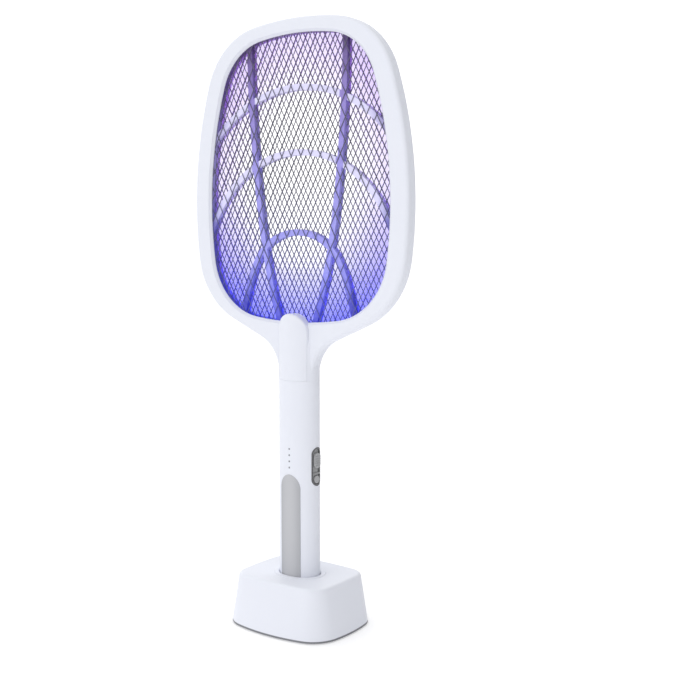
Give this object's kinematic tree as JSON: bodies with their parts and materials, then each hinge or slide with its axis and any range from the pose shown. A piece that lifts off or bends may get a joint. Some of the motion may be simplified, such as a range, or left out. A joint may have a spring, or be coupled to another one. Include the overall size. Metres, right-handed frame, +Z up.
{
  "type": "electric fly swatter",
  "caption": "Racket-shaped electric fly swatter with a diamond-mesh head, lamp housing, side switches and grey grip, standing in its charging dock.",
  "frame": {"origin": "centre of the dock's footprint, on the surface that its feet stand on", "axes": "+Z up along the handle, -Y towards the front of the swatter (grip pad and lamp housing), +X towards the switch panel"},
  "size_m": [0.222, 0.0916, 0.505],
  "materials": {
    "white_shell": "satin moulded white ABS",
    "spacer_plastic": "matt grey-violet insulating plastic",
    "grey_rubber": "matt grey rubber",
    "foot_rubber": "black rubber",
    "grey_plastic": "mid grey moulded plastic",
    "black_plastic": "black insulating plastic",
    "grid_metal": "dark coated expanded metal",
    "bright_metal": "plated steel",
    "contact_brass": "plated brass",
    "circuit_board": "green solder mask",
    "ferrite": "dark ferrite",
    "winding_tape": "yellow tape over copper wire",
    "cell_wrap": "blue heat-shrink sleeve",
    "clear_plastic": "clear polycarbonate",
    "uv_led": "violet-tinted epoxy",
    "indicator_led": "translucent epoxy",
    "red_insulation": "red wire insulation",
    "black_insulation": "black wire insulation"
  },
  "bodies": {
    "dock": {"dock_shell": "white_shell", "socket_collar": "white_shell", "socket_cup": "white_shell", "dock_base_plate": "white_shell", "dock_feet": "foot_rubber", "dock_screws": "bright_metal", "dock_pcb": "circuit_board", "usb_inlet": "bright_metal", "usb_contact_tongue": "black_plastic", "pin_block": "black_plastic", "pin_spring_left": "bright_metal", "pin_spring_right": "bright_metal"},
    "racket": {"head_front_frame": "white_shell", "head_rear_frame": "white_shell", "front_guard_mesh": "grid_metal", "front_spacer_frame": "spacer_plastic", "hv_grid": "grid_metal", "rear_spacer_frame": "spacer_plastic", "rear_guard_mesh": "grid_metal", "lamp_cover": "white_shell", "lamp_lens": "clear_plastic", "uv_led_board": "circuit_board", "uv_leds": "uv_led", "head_screws": "bright_metal", "hv_lead": "red_insulation", "ground_lead": "black_insulation", "lamp_leads": "black_insulation", "handle_front_shell": "white_shell", "handle_rear_shell": "white_shell", "grip_pad": "grey_rubber", "handle_bottom_cap": "white_shell", "contact_studs": "contact_brass", "battery_cell": "cell_wrap", "battery_tabs": "bright_metal", "battery_cradle": "black_plastic", "main_pcb": "circuit_board", "transformer_core": "ferrite", "transformer_winding": "winding_tape", "hv_capacitor": "black_plastic", "rectifier_diodes": "black_plastic", "charge_controller_chip": "black_plastic", "indicator_leds": "indicator_led", "indicator_light_pipe": "clear_plastic", "switch_bezel": "grey_plastic", "slide_switch_body": "black_plastic", "tact_switch": "black_plastic", "handle_screws": "bright_metal", "battery_leads": "red_insulation", "charge_leads": "red_insulation"},
    "switch_knob": {"slide_knob": "grey_plastic", "switch_lever": "black_plastic"},
    "push_button": {"push_button": "grey_plastic"},
    "contact_pin_left": {"contact_pin_left": "contact_brass"},
    "contact_pin_right": {"contact_pin_right": "contact_brass"}
  },
  "joints": [
    {"name": "racket_lift", "type": "slide", "parent": "dock", "child": "racket", "axis": [0, 0, 1], "range_m": [0, 0.06]},
    {"name": "mode_slide", "type": "slide", "parent": "racket", "child": "switch_knob", "axis": [0, 0, 1], "range_m": [-0.003, 0.003]},
    {"name": "zap_button_press", "type": "slide", "parent": "racket", "child": "push_button", "axis": [-1, 0, 0], "range_m": [0, 0.0012], "stiffness_N_per_m": 800, "springref_m": -0.0006},
    {"name": "pin_left_press", "type": "slide", "parent": "dock", "child": "contact_pin_left", "axis": [0, 0, 1], "range_m": [-0.0012, 0], "stiffness_N_per_m": 400, "springref_m": 0.0004, "deforming": ["pin_spring_left"]},
    {"name": "pin_right_press", "type": "slide", "parent": "dock", "child": "contact_pin_right", "axis": [0, 0, 1], "range_m": [-0.0012, 0], "stiffness_N_per_m": 400, "springref_m": 0.0004, "deforming": ["pin_spring_right"]}
  ]
}
